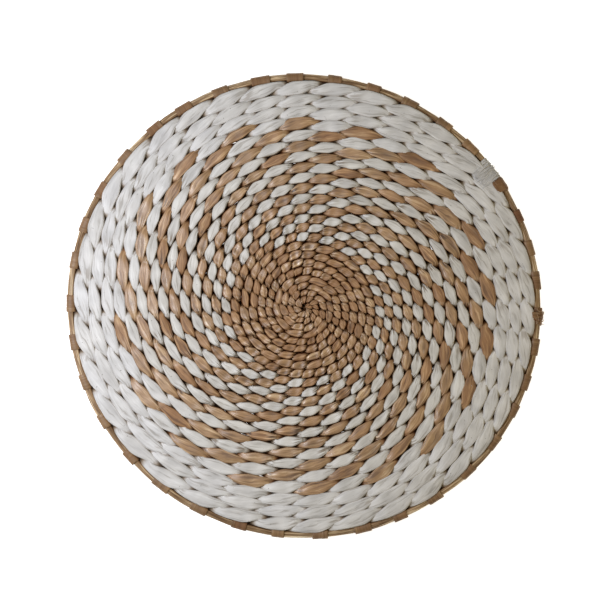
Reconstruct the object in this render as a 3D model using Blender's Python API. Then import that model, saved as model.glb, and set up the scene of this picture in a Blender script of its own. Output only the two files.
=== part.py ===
"""Round twined plant-fibre seat pad. Lengths are in millimetres and turned to metres when a mesh is made.

Two flat strands, A and B, twine round 37 radial stakes in one spiral that runs outward clockwise. At each
stake one strand passes in front and the other behind, and they swap sides in every gap. The stake ends are
wrapped round a rim hoop. +Z is the front face, and z = 0 is the underside.
"""

import math

import bpy

MM = 0.001

# Outline: the hoop is bent slightly out of round.
OVAL_STRETCH = 1.012
OVAL_SQUEEZE = 0.988
OVAL_AXIS_DEG = -16.0

# Rim hoop.
HOOP_RADIUS = 187.0
HOOP_SECTION = 3.0
HOOP_STRAIGHT_DEG = 2.3

# Bands that wrap the hoop, one per stake end, and the white strand's end, which wraps it once.
BAND_CENTRE = 4.05
BAND_HALF_THICK = 0.5
BAND_HALF_WIDTH = 6.5
WHITE_WRAP_HALF_WIDTH = 5.0
WHITE_WRAP_DEG = 37.0
ROUND_THE_HOOP_DEG = (180.0, 120.0, 60.0, 0.0, -60.0, -120.0)

# Spiral of the weft: radius = START + PITCH * turns + GROWTH * turns squared.
SPIRAL_START = 2.8
SPIRAL_PITCH = 5.35
SPIRAL_GROWTH = 0.1105
START_DEG = 24.6
FIRST_TURN = 0.75
TURNS_WITH_25 = 4.0
TURNS_WITH_37 = 8.0
END_TURN = 22.945
CENTRE_LIMIT = 5.0
WEFT_LIMIT = 182.0

# The outer turns are pushed out and then in, in millimetres, so that the last turn lies along the hoop.
PUSH_FIRST = 2.6
PUSH_LAST = -6.4
PUSH_BLEND = 0.03
PUSH_FROM_TURN = 13.0
PUSH_OVER_TURNS = 9.0

# Stakes are added twice. The even angles of the first stake of 12, and of the first of 25 and of 37.
FIRST_OF_12 = START_DEG + 14.2
FIRST_OF_37 = START_DEG + 21.0

# Stages of the weave: (stakes, even angle of the first of them, first turn, last turn).
STAGES = (
    (12, FIRST_OF_12, FIRST_TURN, TURNS_WITH_25),
    (25, FIRST_OF_37, TURNS_WITH_25, TURNS_WITH_37),
    (37, FIRST_OF_37, TURNS_WITH_37, END_TURN),
)

# Strand colours change at these turns.
A_WHITE_FROM = 8.685
B_WHITE_FROM = 19.925

# Twined strands: their clearance from the stake's middle plane, thickness, and gaps.
STAKE_CLEAR = 1.8
STRAND_HALF_THICK = 1.8
STRAND_GAP = 0.3
PASSING_GAP = 0.6
GAP_HEIGHT_SHARE = 0.6
JOIN_GAP = 0.6
FOOT_SHARE = 0.12
STRAND_LENGTH = 1050.0

# Flat stakes: (radius, half width) pairs, and how far they run straight past the rows at each jog.
STAKE_HALF_THICK = 0.8
STAKE_HALF_WIDTHS = ((0.0, 0.65), (60.0, 0.65), (80.0, 1.5), (120.0, 2.0), (200.0, 2.0))
STAKE_WIDE_FROM = 120.0
STAKE_END = 180.4
STRAIGHT_PAST = 2.2
ADDED_START_SHARE = 0.3

# Six stakes run through the centre in two layers of three: (end, opposite end, layer).
THROUGH_STAKES = ((0, 8, -1), (1, 7, -1), (2, 6, -1), (3, 11, 1), (4, 10, 1), (5, 9, 1))
CROSS_LAYER = 1.0
CROSS_RADIUS = 4.4
FLAT_RADIUS = 5.6

# The stakes are not quite evenly spaced: (waves round the rim, size in degrees, angle of the
# closest spacing).
SPACING_WAVES = ((1, 4.27, 24.8), (2, 1.56, 158.8), (3, 0.54, 117.5), (4, 0.39, 87.1), (11, 0.2, 62.0))

HALF_DEPTH = STAKE_CLEAR + 2.0 * STRAND_HALF_THICK

NATURAL = (0.43, 0.25, 0.12)
NATURAL_DARK = (0.31, 0.17, 0.08)
WHITE = (0.66, 0.63, 0.59)
RIM = (0.33, 0.19, 0.10)


def clear_scene():
    for item in list(bpy.data.objects):
        bpy.data.objects.remove(item, do_unlink=True)


def make_material(name, colour, roughness):
    material = bpy.data.materials.new(name)
    material.use_nodes = True
    shader = material.node_tree.nodes["Principled BSDF"]
    shader.inputs["Base Color"].default_value = (*colour, 1.0)
    shader.inputs["Roughness"].default_value = roughness
    shader.inputs["Metallic"].default_value = 0.0
    return material


def spaced(base_deg):
    """The true angle of a stake, in degrees, from its even angle."""
    angle = base_deg
    for waves, size, centre in SPACING_WAVES:
        angle -= size * math.sin(math.radians(waves * (base_deg - centre)))
    return angle


def base_angle(turn):
    return START_DEG - 360.0 * turn


def turn_at(base_deg):
    return (START_DEG - base_deg) / 360.0


def turn_of(base_deg, whole):
    """The turn in [whole, whole + 1) at which the spiral is at this even angle."""
    return whole + ((START_DEG - base_deg) / 360.0) % 1.0


def eased(share):
    return share * share * (3.0 - 2.0 * share)


def settle(turn):
    """How far the outer turns are pushed in or out, so that the last one lies along the hoop."""
    past_end = (turn - END_TURN) % 1.0
    fall = PUSH_LAST - PUSH_FIRST
    if past_end < PUSH_BLEND or past_end > 1.0 - PUSH_BLEND:
        low = PUSH_LAST - fall * PUSH_BLEND
        high = PUSH_FIRST + fall * PUSH_BLEND
        push = low + (high - low) * eased((past_end + PUSH_BLEND) % 1.0 / (2.0 * PUSH_BLEND))
    else:
        push = PUSH_FIRST + fall * past_end
    return push * eased(min(1.0, max(0.0, (turn - PUSH_FROM_TURN) / PUSH_OVER_TURNS)))


def spiral_radius(turn):
    return SPIRAL_START + SPIRAL_PITCH * turn + SPIRAL_GROWTH * turn * turn + settle(turn)


def placed(radius, angle_deg, z, across=0.0):
    """A point at this radius and angle, moved sideways by across, in metres with the oval applied."""
    a = math.radians(angle_deg)
    x = radius * math.cos(a) - across * math.sin(a)
    y = radius * math.sin(a) + across * math.cos(a)
    t = math.radians(OVAL_AXIS_DEG)
    along = (x * math.cos(t) + y * math.sin(t)) * OVAL_STRETCH
    side = (-x * math.sin(t) + y * math.cos(t)) * OVAL_SQUEEZE
    x = along * math.cos(t) - side * math.sin(t)
    y = along * math.sin(t) + side * math.cos(t)
    return (x * MM, y * MM, (z + HALF_DEPTH) * MM)


def add_solid(name, points, faces, material):
    mesh = bpy.data.meshes.new(name)
    mesh.from_pydata(points, [], faces)
    mesh.materials.append(material)
    mesh.update()
    bpy.context.scene.collection.objects.link(bpy.data.objects.new(name, mesh))


def add_tube(name, rings, material, closed=False):
    """One solid from rings of points, each ring in the same order. It has capped ends unless closed."""
    count = len(rings[0])
    points = [p for ring in rings for p in ring]
    faces = []
    steps = len(rings) if closed else len(rings) - 1
    for i in range(steps):
        here = i * count
        there = (i + 1) % len(rings) * count
        for j in range(count):
            k = (j + 1) % count
            faces.append((here + j, here + k, there + k, there + j))
    if not closed:
        last = (len(rings) - 1) * count
        faces.append(tuple(range(count - 1, -1, -1)))
        faces.append(tuple(last + j for j in range(count)))
    add_solid(name, points, faces, material)


def add_strand(name, rings, material):
    """One solid from (ring, in_gap) pairs, split into triangles that bulge away from the stakes.

    Points 0 and 1 of a ring are the edges of the strand's outer face and point 2 is next to the stake.
    """
    points = [p for ring, _ in rings for p in ring]
    faces = [(2, 1, 0)]
    for i, (_, in_gap) in enumerate(rings[:-1]):
        a, b = 3 * i, 3 * i + 3
        faces += [(a, a + 1, b + 1), (a, b + 1, b)]
        if in_gap:
            faces += [(a + 1, a + 2, b + 1), (a + 2, b + 2, b + 1)]
            faces += [(a + 2, a, b), (a + 2, b, b + 2)]
        else:
            faces += [(a + 1, a + 2, b + 2), (a + 1, b + 2, b + 1)]
            faces += [(a + 2, a, b + 2), (a, b, b + 2)]
    last = 3 * len(rings) - 3
    faces.append((last, last + 1, last + 2))
    add_solid(name, points, faces, material)


def weft_crossings():
    """The even angle at which the spiral crosses each stake in turn, from the centre outward."""
    angles = []
    for count, offset, first, last in STAGES:
        step = 360.0 / count
        base = offset + step * math.floor((base_angle(first) - offset) / step)
        while turn_at(base) < last:
            angles.append(base)
            base -= step
    return angles


def half_width(turn):
    """Half the radial room that a strand has at this turn."""
    here = spiral_radius(turn)
    room = [here - spiral_radius(turn - 1.0), 2.0 * (here - CENTRE_LIMIT)]
    if turn + 1.0 <= END_TURN:
        room.append(spiral_radius(turn + 1.0) - here)
    else:
        room.append(2.0 * (WEFT_LIMIT - here) + STRAND_GAP)
    return 0.5 * (min(room) - STRAND_GAP)


def strand_ring(crossings, place, parity):
    """Three points across strand A (parity 0) or B (1), near a crossing (whole place) or gap (half)."""
    low = int(math.floor(place))
    share = place - low
    high = min(low + 1, len(crossings) - 1)
    base = crossings[low] + (crossings[high] - crossings[low]) * share
    angle = spaced(crossings[low]) + (spaced(crossings[high]) - spaced(crossings[low])) * share
    turn = turn_at(base)
    radius = spiral_radius(turn)
    wide = half_width(turn)
    top = HALF_DEPTH
    side = 1.0 if (low + parity) % 2 == 0 else -1.0
    if share == 0.5:
        tall = wide * GAP_HEIGHT_SHARE
        return (
            placed(radius + side * wide, angle, -side * tall),
            placed(radius + side * wide, angle, side * tall),
            placed(radius + side * PASSING_GAP / 2.0, angle, 0.0),
        )
    if share > 0.5:
        side = -side
    return (
        placed(radius + side * wide, angle, side * top),
        placed(radius - side * wide, angle, side * top),
        placed(radius, angle, side * STAKE_CLEAR),
    )


def between(one, other, share):
    return tuple(tuple(a + (b - a) * share for a, b in zip(p, q)) for p, q in zip(one, other))


def strand_spacing(crossings, index):
    """Half the distance along the spiral from this crossing to the next."""
    turn = turn_at(crossings[index])
    after = min(index + 1, len(crossings) - 1)
    before = after - 1
    step = math.radians(abs(spaced(crossings[after]) - spaced(crossings[before])))
    return 0.5 * spiral_radius(turn) * step


def strand_end(crossings, index, beside, parity):
    """The end ring of a length, just short of the crossing where it is joined, on the side of beside."""
    share = JOIN_GAP / 2.0 / strand_spacing(crossings, index)
    at_stake = strand_ring(crossings, index, parity)
    return between(at_stake, strand_ring(crossings, beside, parity), share)


def strand_rings(crossings, first, last, parity, feet):
    """The rings of one length, as (ring, whether it is in a gap), from one stake's back to another's."""
    rings = [(strand_end(crossings, first, first + 0.5, parity), False)]
    for step in range(1, 2 * (last - first)):
        place = first + 0.5 * step
        in_gap = step % 2 == 1
        at_back = not in_gap and (int(place) + parity) % 2 == 1
        if at_back and feet:
            rings.append((strand_ring(crossings, place - FOOT_SHARE, parity), False))
            rings.append((strand_ring(crossings, place + FOOT_SHARE, parity), False))
        else:
            rings.append((strand_ring(crossings, place, parity), in_gap))
    rings.append((strand_end(crossings, last, last - 0.5, parity), False))
    return rings


def back_crossing(crossings, turn, parity):
    """The first crossing at or after this turn where the strand is behind its stake."""
    for index, base in enumerate(crossings):
        if turn_at(base) >= turn and (index + parity) % 2 == 1:
            return index
    last = len(crossings) - 1
    return last if (last + parity) % 2 == 1 else last - 1


def cut_places(crossings, start, stop, parity):
    """Where a run of strand is joined, so that no length is longer than one strand."""
    total = sum(2.0 * strand_spacing(crossings, i) for i in range(start, stop))
    lengths = max(1, math.ceil(total / STRAND_LENGTH))
    cuts, run = [start], 0.0
    for index in range(start, stop):
        run += 2.0 * strand_spacing(crossings, index)
        due = run >= total * len(cuts) / lengths
        if due and len(cuts) < lengths and (index + 1 + parity) % 2 == 1:
            cuts.append(index + 1)
    return cuts + [stop]


def add_weft(crossings, natural, white):
    last = len(crossings) - 1
    runs = []
    for letter, parity, change in (("a", 0, A_WHITE_FROM), ("b", 1, B_WHITE_FROM)):
        start = 1 - parity
        turn = back_crossing(crossings, change, parity)
        stop = last if (last + parity) % 2 == 1 else last - 1
        runs.append((letter, parity, "natural", start, turn, natural))
        runs.append((letter, parity, "white", turn, stop, white))
    for letter, parity, colour, start, stop, material in runs:
        cuts = cut_places(crossings, start, stop, parity)
        for number, (first, end) in enumerate(zip(cuts, cuts[1:]), 1):
            feet = turn_at(crossings[end]) > END_TURN - 0.9
            rings = strand_rings(crossings, first, end, parity, feet)
            add_strand(f"weft_{letter}_{colour}_{number:02d}", rings, material)


def stake_half_width(radius):
    for (r0, w0), (r1, w1) in zip(STAKE_HALF_WIDTHS, STAKE_HALF_WIDTHS[1:]):
        if radius <= r1:
            return w0 + (w1 - w0) * (radius - r0) / (r1 - r0)
    return STAKE_HALF_WIDTHS[-1][1]


def stake_ring(radius, angle, z, normal=(0.0, 1.0), half_thick=STAKE_HALF_THICK, half=None):
    """Four corners across a stake or band. normal is the way its flat side faces, as (outward, up)."""
    half = stake_half_width(radius) if half is None else half
    dr, dz = normal[0] * half_thick, normal[1] * half_thick
    return (
        placed(radius + dr, angle, z + dz, half),
        placed(radius + dr, angle, z + dz, -half),
        placed(radius - dr, angle, z - dz, -half),
        placed(radius - dr, angle, z - dz, half),
    )


def stage_angles(slot):
    """Even angles of a slot of 37 where there are 12, 25 and 37 stakes: two of three are in the 25."""
    angles = {37: FIRST_OF_37 + slot * 360.0 / 37.0}
    if slot % 3 != 2:
        of_25 = 2 * (slot // 3) + slot % 3
        angles[25] = FIRST_OF_37 + of_25 * 360.0 / 25.0
        if slot % 3 == 0 and slot // 3 < 12:
            angles[12] = FIRST_OF_12 + slot // 3 * 360.0 / 12.0
    return angles


def start_radius(turn):
    """An added stake starts between two turns, under the first one that twines round it."""
    here = spiral_radius(turn)
    return here + ADDED_START_SHARE * (spiral_radius(turn - 1.0) - here)


def band_rings(angle, half):
    """A band from the hoop's inner side over its top, round the outside and back underneath."""
    rings = []
    thick = BAND_HALF_THICK / math.cos(math.radians(30.0))
    for turn_deg in ROUND_THE_HOOP_DEG:
        t = math.radians(turn_deg)
        way = (math.cos(t), math.sin(t))
        centre = HOOP_RADIUS + BAND_CENTRE * way[0]
        rings.append(stake_ring(centre, angle, BAND_CENTRE * way[1], way, thick, half))
    return rings


def corner_and_band(angle):
    """The stake's end flares into its band. The first ring of the band is turned to make the corner."""
    half = BAND_HALF_WIDTH
    centre = HOOP_RADIUS - BAND_CENTRE - STRAND_GAP
    diagonal = math.sqrt(0.5)
    corner = stake_ring(centre, angle, 0.0, (-diagonal, diagonal), BAND_HALF_THICK / diagonal, half)
    return [corner] + band_rings(angle, half)[1:]


def spoke_rings(slot, first_stage):
    """The rings of one spoke, from where it starts to the band at its end. first_stage is 12, 25 or 37."""
    stages = stage_angles(slot)
    rings = []
    if first_stage == 12:
        angle = spaced(stages[12])
        rings.append((FLAT_RADIUS, angle))
        rings.append((spiral_radius(turn_of(stages[12], TURNS_WITH_25 - 1.0)) + STRAIGHT_PAST, angle))
    if first_stage <= 25:
        angle = spaced(stages[25])
        start = turn_of(stages[25], TURNS_WITH_25)
        if first_stage == 25:
            rings.append((start_radius(start), angle))
        else:
            rings.append((spiral_radius(start) - STRAIGHT_PAST, angle))
        rings.append((spiral_radius(turn_of(stages[25], TURNS_WITH_37 - 1.0)) + STRAIGHT_PAST, angle))
    angle = spaced(stages[37])
    start = turn_of(stages[37], TURNS_WITH_37)
    first = start_radius(start) if first_stage == 37 else spiral_radius(start) - STRAIGHT_PAST
    rings.append((first, angle))
    rings.append((STAKE_WIDE_FROM, angle))
    rings.append((STAKE_END, angle))
    rings = [stake_ring(radius, at, 0.0) for radius, at in rings]
    return rings + corner_and_band(angle)


def add_through_stake(number, end, opposite, layer, material):
    """One stake that runs through the centre from one spoke to the opposite one."""
    ends = []
    for slot in (3 * end, 3 * opposite):
        angle = spaced(stage_angles(slot)[12])
        ends.append([stake_ring(CROSS_RADIUS, angle, layer * CROSS_LAYER)] + spoke_rings(slot, 12))
    second = [(ring[1], ring[0], ring[3], ring[2]) for ring in ends[1]]
    add_tube(f"stake_through_{number}", list(reversed(second)) + ends[0], material)


def add_stakes(material):
    for number, (end, opposite, layer) in enumerate(THROUGH_STAKES, 1):
        add_through_stake(number, end, opposite, layer, material)
    number = 0
    for slot in range(37):
        stages = stage_angles(slot)
        if 12 in stages:
            continue
        number += 1
        rings = spoke_rings(slot, 25 if 25 in stages else 37)
        add_tube(f"stake_added_{number:02d}", rings, material)


def add_hoop(material):
    """Six-sided ring. Each stake's band lies on the middle of a straight, so the bands stay clear of it."""
    rings = []
    for slot in range(37):
        middle = spaced(stage_angles(slot)[37])
        for angle in (middle - HOOP_STRAIGHT_DEG, middle + HOOP_STRAIGHT_DEG):
            ring = []
            for turn_deg in ROUND_THE_HOOP_DEG:
                t = math.radians(turn_deg)
                out, up = HOOP_SECTION * math.cos(t), HOOP_SECTION * math.sin(t)
                ring.append(placed(HOOP_RADIUS + out, angle, up))
            rings.append(tuple(ring))
    add_tube("rim_hoop", rings, material, closed=True)


def add_white_wrap(material):
    """The end of the white strand, wrapped once round the hoop between two stakes."""
    slots = [spaced(stage_angles(slot)[37]) for slot in range(-3, 3)]
    middles = [0.5 * (one + other) for one, other in zip(slots, slots[1:])]
    middle = min(middles, key=lambda angle: abs(angle - WHITE_WRAP_DEG))
    add_tube("rim_wrap_white", band_rings(middle, WHITE_WRAP_HALF_WIDTH), material)


def main():
    clear_scene()
    natural = make_material("natural_strand", NATURAL, 0.72)
    white = make_material("white_strand", WHITE, 0.7)
    stake = make_material("stake_strip", NATURAL_DARK, 0.75)
    rim = make_material("rim_cane", RIM, 0.65)
    add_hoop(rim)
    add_stakes(stake)
    add_weft(weft_crossings(), natural, white)
    add_white_wrap(white)


main()
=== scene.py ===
"""Looks of a round twined plant-fibre seat pad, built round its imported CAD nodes.

Each CAD strand, stake, wrap and the hoop is replaced by a finely shaped piece on the same path. Lengths are
in millimetres and turned to metres when a mesh is made. +Z is the front face, and z = 0 is the underside.
"""

import math

import bpy
import numpy as np
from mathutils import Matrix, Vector

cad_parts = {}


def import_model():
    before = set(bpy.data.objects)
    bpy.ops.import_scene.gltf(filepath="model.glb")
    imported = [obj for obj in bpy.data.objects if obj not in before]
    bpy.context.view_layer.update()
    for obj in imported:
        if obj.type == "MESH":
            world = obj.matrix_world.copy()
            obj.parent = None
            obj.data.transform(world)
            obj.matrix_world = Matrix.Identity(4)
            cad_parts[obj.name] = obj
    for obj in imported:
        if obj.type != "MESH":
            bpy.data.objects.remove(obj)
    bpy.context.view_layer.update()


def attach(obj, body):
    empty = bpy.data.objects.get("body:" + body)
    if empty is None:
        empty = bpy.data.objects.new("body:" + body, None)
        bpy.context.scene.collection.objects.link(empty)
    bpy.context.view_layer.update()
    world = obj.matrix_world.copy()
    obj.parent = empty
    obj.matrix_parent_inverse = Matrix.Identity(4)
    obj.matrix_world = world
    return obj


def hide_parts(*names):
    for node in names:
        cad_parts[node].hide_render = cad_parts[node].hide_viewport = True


MM = 0.001

# The weave's plan, the same as the CAD part's.
OVAL_STRETCH = 1.012
OVAL_SQUEEZE = 0.988
OVAL_AXIS_DEG = -16.0
HOOP_RADIUS = 187.0
SPIRAL_START = 2.8
SPIRAL_PITCH = 5.35
SPIRAL_GROWTH = 0.1105
START_DEG = 24.6
FIRST_TURN = 0.75
TURNS_WITH_25 = 4.0
TURNS_WITH_37 = 8.0
END_TURN = 22.945
PUSH_FIRST = 2.6
PUSH_LAST = -6.4
PUSH_BLEND = 0.03
PUSH_FROM_TURN = 13.0
PUSH_OVER_TURNS = 9.0
FIRST_OF_12 = START_DEG + 14.2
FIRST_OF_37 = START_DEG + 21.0
STAGES = (
    (12, FIRST_OF_12, FIRST_TURN, TURNS_WITH_25),
    (25, FIRST_OF_37, TURNS_WITH_25, TURNS_WITH_37),
    (37, FIRST_OF_37, TURNS_WITH_37, END_TURN),
)
A_WHITE_FROM = 8.685
B_WHITE_FROM = 19.925
STRAND_LENGTH = 1050.0
# (slot of 12 at one end, slot of 12 at the other, layer: -1 lower and 1 upper)
THROUGH_STAKES = ((0, 8, -1), (1, 7, -1), (2, 6, -1), (3, 11, 1), (4, 10, 1), (5, 9, 1))
# (waves round the rim, size in degrees, angle of the closest spacing)
SPACING_WAVES = ((1, 4.27, 24.8), (2, 1.56, 158.8), (3, 0.54, 117.5), (4, 0.39, 87.1), (11, 0.2, 62.0))
HALF_DEPTH = 5.4

# Extra stitches that carry the weave in to the very centre, and how far the weave's middle lies off the
# hoop's.
CENTRE_STITCHES = 8
CENTRE_STEP_DEG = 47.0
CENTRE_SHIFT = (0.7, -1.8)

# Rows: the weft's outer limit beside the hoop, the turn from which the last row closes up to it, and how
# far the outer rows are beaten out toward the hoop.
WEFT_LIMIT = 184.3
CLOSING_TURN = END_TURN + 0.004
CLOSING_OVER = 0.022
BEATEN_ROWS = 6.0
BEATEN_OUT = 1.7
BEATEN_OUT_VARIES = 0.9
BEATEN_MOST_DEG = -20.0

# Strand shape. A stitch is lifted, broad and flat over its stake, and narrow and round in the gap where it
# goes through to the other face.
LIFT = 3.3
FLAT_HALF = 1.95
ROUND_HALF = 4.35
LEAN = 0.06
FULLNESS = 1.09
GAP_NARROW = 1.2
GAP_NARROW_RIM = 0.06
FULL_SHAPE_CENTRE = 0.36
FULL_SHAPE_ROWS = 0.48
FULL_SHAPE_POINTED = 0.2
LIFT_SHAPE = 0.6
LIFT_SHAPE_POINTED = 0.55
SQUARE_MIDDLE = 0.52
SQUARE_RIM = 0.38
ROLL = 0.05
RINGS = 12
FIBRE_RADIUS = 3.8
FOLD_DEPTH = 0.16
FOLDED_SHARE = 0.42
WHITE_SMOOTHNESS = 0.6
TOP_PROUD = 1.2

# Each irregular thing draws from its own seeded generator.
WEAVE_SEED = 412
BAND_SEED = 77
HOOP_SEED = 5
WHITE_END_SEED = 91
TIE_SEED = 17
KNOT_SEED = 23
HAIR_SEED = 31


def eased(share):
    share = np.clip(share, 0.0, 1.0)
    return share * share * (3.0 - 2.0 * share)


def spaced(base_deg):
    """The true angle of a stake, in degrees, from its even angle."""
    base = np.asarray(base_deg, float)
    angle = base.copy()
    for waves, size, centre in SPACING_WAVES:
        angle = angle - size * np.sin(np.radians(waves * (base - centre)))
    return angle


def turn_at(base_deg):
    return (START_DEG - np.asarray(base_deg, float)) / 360.0


def settle(turn):
    """How far the outer turns are pushed in or out, so that the last one lies along the hoop."""
    past_end = (turn - END_TURN) % 1.0
    fall = PUSH_LAST - PUSH_FIRST
    low = PUSH_LAST - fall * PUSH_BLEND
    high = PUSH_FIRST + fall * PUSH_BLEND
    blended = low + (high - low) * eased((past_end + PUSH_BLEND) % 1.0 / (2.0 * PUSH_BLEND))
    near_end = (past_end < PUSH_BLEND) | (past_end > 1.0 - PUSH_BLEND)
    push = np.where(near_end, blended, PUSH_FIRST + fall * past_end)
    return push * eased((turn - PUSH_FROM_TURN) / PUSH_OVER_TURNS)


def spiral_radius(turn):
    turn = np.asarray(turn, float)
    return SPIRAL_START + SPIRAL_PITCH * turn + SPIRAL_GROWTH * turn * turn + settle(turn)


def placed(radius, angle_deg, z, across=0.0):
    """Points at these radii and angles, moved sideways by across, in metres with the oval applied."""
    a = np.radians(angle_deg)
    x = radius * np.cos(a) - across * np.sin(a)
    y = radius * np.sin(a) + across * np.cos(a)
    t = math.radians(OVAL_AXIS_DEG)
    along = (x * math.cos(t) + y * math.sin(t)) * OVAL_STRETCH
    side = (-x * math.sin(t) + y * math.cos(t)) * OVAL_SQUEEZE
    x = along * math.cos(t) - side * math.sin(t)
    y = along * math.sin(t) + side * math.cos(t)
    fade = 1.0 - eased(np.asarray(radius, float) / 185.0)
    x, y = x + CENTRE_SHIFT[0] * fade, y + CENTRE_SHIFT[1] * fade
    x, y, z = np.broadcast_arrays(x, y, np.asarray(z, float) + HALF_DEPTH)
    return np.stack([x, y, z], axis=-1) * MM


def weft_crossings():
    """The even angle at which the spiral crosses each stake in turn, from the centre outward."""
    angles = []
    for count, offset, first, last in STAGES:
        step = 360.0 / count
        base = offset + step * math.floor((START_DEG - 360.0 * first - offset) / step)
        while turn_at(base) < last:
            angles.append(base)
            base -= step
    return angles


def back_crossing(crossings, turn, parity):
    """The first crossing at or after this turn where the strand is behind its stake."""
    for index, base in enumerate(crossings):
        if turn_at(base) >= turn and (index + parity) % 2 == 1:
            return index
    last = len(crossings) - 1
    return last if (last + parity) % 2 == 1 else last - 1


def spacing_at(crossings, index):
    """The length of strand from one stake to the next, in millimetres."""
    after = min(index + 1, len(crossings) - 1)
    step = abs(float(spaced(crossings[after]) - spaced(crossings[after - 1])))
    return float(spiral_radius(turn_at(crossings[index]))) * math.radians(step)


def cut_places(crossings, start, stop, parity):
    """Where a run of strand is joined, so that no length is longer than one strand."""
    total = sum(spacing_at(crossings, i) for i in range(start, stop))
    lengths = max(1, math.ceil(total / STRAND_LENGTH))
    cuts, run = [start], 0.0
    for index in range(start, stop):
        run += spacing_at(crossings, index)
        due = run >= total * len(cuts) / lengths
        if due and len(cuts) < lengths and (index + 1 + parity) % 2 == 1:
            cuts.append(index + 1)
    return cuts + [stop]


def strand_lengths(crossings):
    """(node name, parity, colour, first place, last place) of every length of strand."""
    last = len(crossings) - 1
    found = []
    for letter, parity, change in (("a", 0, A_WHITE_FROM), ("b", 1, B_WHITE_FROM)):
        turn = back_crossing(crossings, change, parity)
        stop = last if (last + parity) % 2 == 1 else last - 1
        for colour, first, end in (("natural", 1 - parity, turn), ("white", turn, stop)):
            cuts = cut_places(crossings, first, end, parity)
            for number, (one, other) in enumerate(zip(cuts, cuts[1:]), 1):
                found.append((f"weft_{letter}_{colour}_{number:02d}", parity, colour, one, other))
    return found


# ---------------------------------------------------------------- meshes


def stacked(*axes):
    """A grid of points from the grids of their coordinates, each spread to the full size."""
    return np.stack(np.broadcast_arrays(*axes), axis=-1)


def mesh_from_grid(name, points, material, fibre, marks, closed_along=False):
    """A tube from a grid of points, rings along the first axis, closed at both ends unless it is a loop.

    fibre is a grid of places in the strip's own frame, in millimetres, with its third axis along the
    fibres. marks is {attribute: grid of floats}.
    """
    rings, count = points.shape[:2]
    i, j = np.meshgrid(np.arange(rings if closed_along else rings - 1), np.arange(count), indexing="ij")
    here, ahead, beside = i * count, (i + 1) % rings * count, (j + 1) % count
    quads = stacked(here + j, here + beside, ahead + beside, ahead + j).reshape(-1, 4)
    verts = points.reshape(-1, 3)
    values = {key: grid.reshape(-1) for key, grid in marks.items()}
    places = fibre.reshape(-1, 3)
    p = verts[quads] - verts.mean(axis=0)
    volume = np.einsum("ij,ij->i", p[:, 0], np.cross(p[:, 1], p[:, 2])).sum()
    volume += np.einsum("ij,ij->i", p[:, 0], np.cross(p[:, 2], p[:, 3])).sum()
    tris = np.zeros((0, 3), int)
    if not closed_along:
        start = len(verts)
        verts = np.concatenate([verts, points[:1].mean(axis=1), points[-1:].mean(axis=1)])
        places = np.concatenate([places, fibre[:1].mean(axis=1), fibre[-1:].mean(axis=1)])
        for key, flat in values.items():
            values[key] = np.concatenate([flat, [flat[:count].mean()], [flat[-count:].mean()]])
        ring = np.arange(count)
        after = (ring + 1) % count
        base = (rings - 1) * count
        first = np.stack([after, ring, np.full(count, start)], -1)
        last = np.stack([base + ring, base + after, np.full(count, start + 1)], -1)
        tris = np.concatenate([first, last])
    if volume < 0.0:
        quads, tris = quads[:, ::-1], tris[:, ::-1]
    mesh = bpy.data.meshes.new(name)
    mesh.vertices.add(len(verts))
    mesh.vertices.foreach_set("co", np.ascontiguousarray(verts, np.float32).ravel())
    loops = np.concatenate([quads.ravel(), tris.ravel()]).astype(np.int32)
    mesh.loops.add(len(loops))
    mesh.loops.foreach_set("vertex_index", loops)
    starts = np.concatenate([np.arange(len(quads)) * 4, len(quads) * 4 + np.arange(len(tris)) * 3])
    mesh.polygons.add(len(starts))
    mesh.polygons.foreach_set("loop_start", starts.astype(np.int32))
    mesh.update(calc_edges=True)
    layer = mesh.attributes.new("fibre", "FLOAT_VECTOR", "POINT")
    layer.data.foreach_set("vector", np.ascontiguousarray(places, np.float32).ravel())
    for key in ("tone", "crevice_shade", "comb", "groove"):
        flat = values.get(key, np.zeros(len(verts)))
        mesh.attributes.new(key, "FLOAT", "POINT").data.foreach_set("value", flat.astype(np.float32))
    mesh.materials.append(material)
    mesh.shade_smooth()
    mesh.validate()
    return mesh


def add_piece(name, meshes, cad_node):
    """One object from one or more meshes, riding on the root body and standing for a CAD node, if any."""
    objects = []
    for number, mesh in enumerate(meshes):
        item = bpy.data.objects.new(name if number == 0 else f"{name}_{number}", mesh)
        bpy.context.scene.collection.objects.link(item)
        objects.append(item)
    first = objects[0]
    if len(objects) > 1:
        bpy.ops.object.select_all(action="DESELECT")
        for item in objects:
            item.select_set(True)
        bpy.context.view_layer.objects.active = first
        bpy.ops.object.join()
    first.name = name
    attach(first, "root")
    if cad_node:
        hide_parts(cad_node)


# ---------------------------------------------------------------- materials


def node(tree, kind, inputs=None, **settings):
    """A new node with its settings and inputs. An input is a value, or a socket to link from."""
    made = tree.nodes.new(kind)
    for key, value in settings.items():
        setattr(made, key, value)
    for key, value in (inputs or {}).items():
        if isinstance(value, bpy.types.NodeSocket):
            tree.links.new(value, made.inputs[key])
        else:
            made.inputs[key].default_value = value
    return made


def product(tree, a, b):
    return node(tree, "ShaderNodeMath", {0: a, 1: b}, operation="MULTIPLY").outputs[0]


def added(tree, a, b):
    return node(tree, "ShaderNodeMath", {0: a, 1: b}, operation="ADD").outputs[0]


def mix_colour(tree, factor, a, b, blend="MIX"):
    inputs = {0: factor, 6: a, 7: b}
    return node(tree, "ShaderNodeMix", inputs, data_type="RGBA", blend_type=blend).outputs[2]


def ramp(tree, factor, stops):
    made = node(tree, "ShaderNodeValToRGB", {0: factor})
    elements = made.color_ramp.elements
    while len(elements) < len(stops):
        elements.new(0.5)
    for element, (position, colour) in zip(elements, stops):
        element.position = position
        element.color = solid(colour)
    return made.outputs[0]


def solid(colour):
    return (*colour, 1.0)


def grey(value):
    return (value, value, value)


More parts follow.
